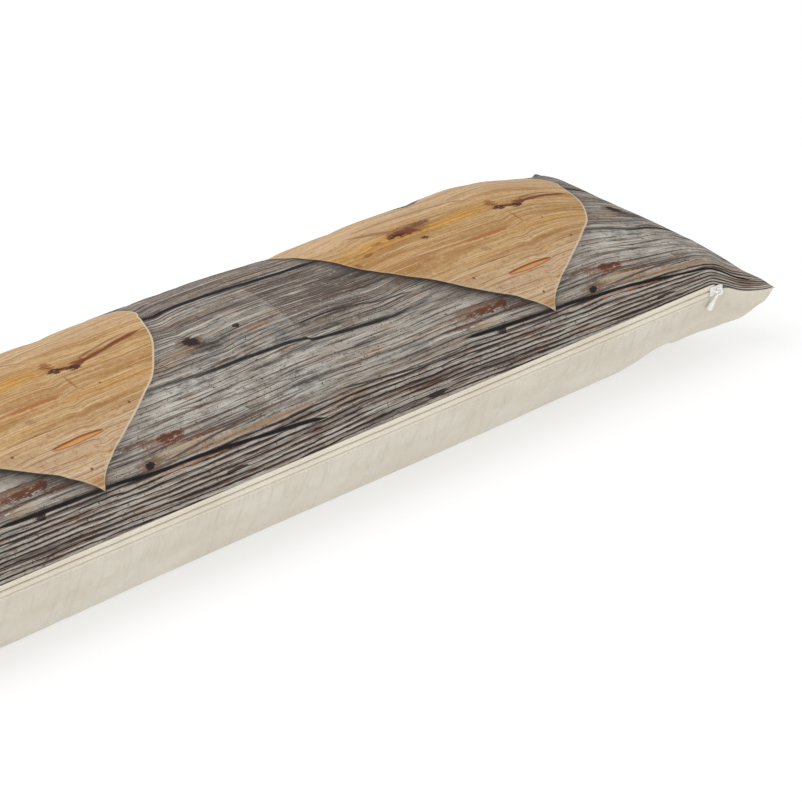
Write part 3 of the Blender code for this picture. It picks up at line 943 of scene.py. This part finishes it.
def coil(name, side, material):
    """One half of the zip's nylon coil: a close helix behind its tape."""
    low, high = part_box(name)
    wire = 0.00018
    radius = (high.z - low.z) / 2 - wire
    pitch, around, sides = 0.0013, 8, 6
    turns = int((high.x - low.x - 2 * wire) / pitch)
    turn = np.linspace(0, turns * 2 * math.pi, turns * around)[:, None]
    ring = np.linspace(0, 2 * math.pi, sides, endpoint=False)[None, :]
    reach = radius + wire * np.cos(ring)
    x = low.x + wire + pitch * turn / (2 * math.pi) + wire * np.sin(ring)
    y = (low.y + high.y) / 2 + reach * np.cos(turn)
    z = (low.z + high.z) / 2 + side * reach * np.sin(turn)
    index = np.arange(x.size).reshape(x.shape)
    index = np.concatenate([index, index[:, :1]], 1)
    which = name.rsplit("_", 1)[1]
    made = mesh_object("coil_" + which, np.stack([x, y, z], -1), quads(index)[:, ::side], material)
    bm = bmesh.new()
    bm.from_mesh(made.data)
    bmesh.ops.holes_fill(bm, edges=[edge for edge in bm.edges if edge.is_boundary], sides=sides)
    bmesh.ops.recalc_face_normals(bm, faces=bm.faces)
    bm.to_mesh(made.data)
    bm.free()
    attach(made, "cover")
    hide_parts(name)


def stitches(name, place, half_length, pitch, material):
    """A row of short threads lying on the cloth, at place (y, z)."""
    bm = bmesh.new()
    count = int(2 * half_length / pitch)
    for number in range(count):
        x = -half_length + (number + 0.5) * pitch
        made = bmesh.ops.create_icosphere(bm, subdivisions=1, radius=1)["verts"]
        bmesh.ops.scale(bm, vec=(pitch * 0.36, 0.00016, 0.0002), verts=made)
        bmesh.ops.translate(bm, vec=(x, *place), verts=made)
    mesh = bpy.data.meshes.new(name)
    bm.to_mesh(mesh)
    bm.free()
    mesh.shade_smooth()
    mesh.materials.append(material)
    row = bpy.data.objects.new(name, mesh)
    bpy.context.scene.collection.objects.link(row)
    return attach(row, "cover")


def add_box(bm, size, place):
    made = bmesh.ops.create_cube(bm, size=1)["verts"]
    bmesh.ops.scale(bm, vec=size, verts=made)
    bmesh.ops.translate(bm, vec=place, verts=made)
    return made


def rounded(name, bm, width, material):
    """The mesh as an object with rounded edges."""
    mesh = bpy.data.meshes.new(name)
    bm.to_mesh(mesh)
    bm.free()
    mesh.materials.append(material)
    obj = bpy.data.objects.new(name, mesh)
    bpy.context.scene.collection.objects.link(obj)
    bevel = obj.modifiers.new("Rounding", "BEVEL")
    bevel.width = width
    bevel.segments = 4
    bevel.limit_method = "ANGLE"
    return apply_modifiers(obj)


def tube(bm, line, radius, sides=12, closed=False):
    """A round wire along a line of points in one plane of constant z or x."""
    line = [Vector(point) for point in line]
    count = len(line)
    angles = [2 * math.pi * k / sides for k in range(sides)]
    rings, first = [], None
    for number, point in enumerate(line):
        before = line[number - 1] if number or closed else point
        after = line[(number + 1) % count] if number < count - 1 or closed else point
        ahead = (after - before).normalized()
        first = (first - ahead * first.dot(ahead) if rings else ahead.orthogonal()).normalized()
        second = ahead.cross(first)
        ring = [point + radius * (math.cos(a) * first + math.sin(a) * second) for a in angles]
        rings.append([bm.verts.new(place) for place in ring])
    pairs = list(zip(rings, rings[1:])) + ([(rings[-1], rings[0])] if closed else [])
    for one, two in pairs:
        for k in range(sides):
            bm.faces.new((one[k], one[(k + 1) % sides], two[(k + 1) % sides], two[k]))
    if not closed:
        bm.faces.new(rings[0][::-1])
        bm.faces.new(rings[-1])


def bail_arch(face_y, pivot):
    """The squared arch, out from the slider's face, that the pull swings on."""
    squared = 0.62
    arch = []
    for step in range(25):
        angle = math.pi * step / 24
        across = math.copysign(abs(math.cos(angle)) ** squared, math.cos(angle))
        out = math.sin(angle) ** squared
        arch.append((SLIDER_X - 0.0026 * across, face_y + (pivot.y - face_y) * out, CENTRE_Z))
    return arch


def build_slider(enamel):
    """Body with a waisted face plate, neck and rear plate, and the bail that the pull swings on."""
    half = (SLIDER_HIGH.x - SLIDER_LOW.x) / 2
    height = SLIDER_HIGH.z - SLIDER_LOW.z
    face_y = -HALF_WIDTH - 0.0014
    pivot = Vector(SWING["pos_m"])
    bm = bmesh.new()
    plate = add_box(bm, (2 * half, 0.001, height), (SLIDER_X, face_y, CENTRE_Z))
    edges = list({edge for vert in plate for edge in vert.link_edges})
    bmesh.ops.subdivide_edges(bm, edges=edges, cuts=7, use_grid_fill=True)
    for vert in bm.verts:
        along = (vert.co.x - SLIDER_X) / half
        waist = 1 - 0.16 * math.cos(along * math.pi / 2) ** 2
        nose = 1 - 0.3 * max(0.0, along - 0.45) / 0.55
        vert.co.z = CENTRE_Z + (vert.co.z - CENTRE_Z) * waist * nose
    add_box(bm, (0.0044, 0.0040, 0.0003), (SLIDER_X, -HALF_WIDTH + 0.0008, CENTRE_Z))
    add_box(bm, (0.0078, 0.0008, 0.0038), (SLIDER_X, SLIDER_HIGH.y - 0.0005, CENTRE_Z))
    for end in (-1, 1):
        add_box(bm, (0.0012, 0.0009, 0.0020), (SLIDER_X + end * 0.0026, face_y - 0.0006, CENTRE_Z))
    bmesh.ops.recalc_face_normals(bm, faces=bm.faces)
    slider = rounded("slider_body", bm, 0.0002, enamel)
    joined = bmesh.new()
    joined.from_mesh(slider.data)
    plate_faces = len(joined.faces)
    tube(joined, bail_arch(face_y, pivot), 0.0005)
    joined.faces.ensure_lookup_table()
    bmesh.ops.recalc_face_normals(joined, faces=joined.faces[plate_faces:])
    joined.to_mesh(slider.data)
    joined.free()
    slider.data.shade_smooth()
    slider.data.set_sharp_from_angle(angle=math.radians(50))
    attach(slider, "slider")
    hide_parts("zip_slider")


PULL_LEAN, PULL_TILT = math.radians(16), math.radians(24)
PULL_EYE, PULL_WIRE, PULL_LENGTH = 0.0016, 0.00055, 0.0125
PULL_OUTLINE = [(0.0, 1.5), (0.6, 1.7), (0.72, 2.6), (0.74, 4.6), (0.95, 6.6), (1.3, 8.4), (1.62, 10.0)]


def build_pull(enamel):
    """A drop on an eye round the bail, turned about its own length."""
    bulb = 0.0017
    rows = [(radius * MM, down * MM) for radius, down in PULL_OUTLINE]
    for step in range(1, 8):
        angle = math.pi / 2 * step / 7
        rows.append((bulb * math.cos(angle), PULL_LENGTH - bulb + bulb * math.sin(angle)))
    bm = bmesh.new()
    verts = [bm.verts.new((radius, 0, -down)) for radius, down in rows]
    edges = [bm.edges.new(pair) for pair in zip(verts, verts[1:])]
    axis = {"cent": (0, 0, 0), "axis": (0, 0, 1)}
    bmesh.ops.spin(bm, geom=verts + edges, angle=2 * math.pi, steps=32, use_merge=True, **axis)
    bmesh.ops.remove_doubles(bm, verts=bm.verts, dist=1e-7)
    turns = np.linspace(0, 2 * math.pi, 33)[:-1]
    circle = [(0, PULL_EYE * math.cos(a), PULL_EYE * math.sin(a)) for a in turns]
    tube(bm, circle, PULL_WIRE, closed=True)
    bmesh.ops.recalc_face_normals(bm, faces=bm.faces)
    mesh = bpy.data.meshes.new("drop_pull")
    bm.to_mesh(mesh)
    bm.free()
    mesh.shade_smooth()
    mesh.materials.append(enamel)
    pull = bpy.data.objects.new("drop_pull", mesh)
    bpy.context.scene.collection.objects.link(pull)
    pull.location = SWING["pos_m"]
    pull.rotation_mode = "YXZ"
    pull.rotation_euler = (PULL_LEAN, PULL_TILT, 0)
    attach(pull, "pull")
    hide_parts("zip_pull")


def build_zip():
    # The second tone is painted shade for the weave's hollows
    tape = woven("zip_tape", tone(228, 219, 201), tone(206, 195, 173), tone(238, 231, 217), 0.45)
    for where, side in (("upper", 1), ("lower", -1)):
        strip = band("tape_" + where, TAPE_SECTION, side, SLIDER_X + 0.005, tape, 0.00045)
        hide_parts("zip_tape_" + where)
        coil("zip_coil_" + where, side, moulded("nylon_coil", (224, 217, 196), 0.45))
    for stop in ("zip_top_stop", "zip_bottom_stop"):
        frame["nodes"][stop].data.materials.clear()
        frame["nodes"][stop].data.materials.append(moulded("crimped_stop", (228, 222, 204), 0.4))
    thread = moulded("sewing_thread", (224, 217, 199), 0.7)
    seam = (-HALF_WIDTH - 0.0006, CENTRE_Z - 0.0049)
    row = stitches("hem_stitching", seam, SLIDER_X - 0.004, 0.003, thread)
    enamel = moulded("white_enamel", (244, 243, 238), 0.28)
    build_slider(enamel)
    build_pull(enamel)


# ---------------------------------------------------------------- the stage


def build_camera(scene):
    camera_data = bpy.data.cameras.new("camera")
    camera = bpy.data.objects.new("camera", camera_data)
    scene.collection.objects.link(camera)
    camera_data.sensor_width = 36
    camera_data.lens = 174.6
    camera.location = (-0.98407, -1.38268, 0.98620)
    camera.rotation_euler = (math.radians(62), 0, math.radians(-41.825))
    scene.camera = camera


def build_floor(scene):
    """Pale paper that is bright enough to fade out into the background."""
    bm = bmesh.new()
    bmesh.ops.create_grid(bm, x_segments=1, y_segments=1, size=30)
    mesh = bpy.data.meshes.new("floor")
    bm.to_mesh(mesh)
    bm.free()
    floor = bpy.data.objects.new("floor", mesh)
    floor.location.z = CAD_BOX[0].z - 0.0002
    scene.collection.objects.link(floor)
    paper = simple("floor_paper", (0.4, 0.4, 0.4), 1.0)
    lit = paper.node_tree.nodes["Principled BSDF"].inputs
    lit["Emission Color"].default_value = (1, 1, 1, 1)
    lit["Emission Strength"].default_value = 0.565
    mesh.materials.append(paper)


def build_light(scene):
    """An even white surround with one soft key light from the left."""
    world = bpy.data.worlds.new("studio")
    scene.world = world
    world.use_nodes = True
    sky = world.node_tree.nodes["Background"]
    sky.inputs["Color"].default_value = (1, 1, 1, 1)
    sky.inputs["Strength"].default_value = 0.85

    light = bpy.data.lights.new("key", "AREA")
    light.shape = "SQUARE"
    light.size = 1.6
    light.energy = 22
    key = bpy.data.objects.new("key", light)
    key.location = (-0.9, 0.3, 1.9)
    key.rotation_euler = (Vector((0.1, 0, 0)) - key.location).to_track_quat("-Z", "Y").to_euler()
    scene.collection.objects.link(key)


stage = bpy.context.scene
stage.view_settings.view_transform = "Standard"
build_camera(stage)
build_floor(stage)
build_light(stage)
build_cover()
build_inside()
build_zip()
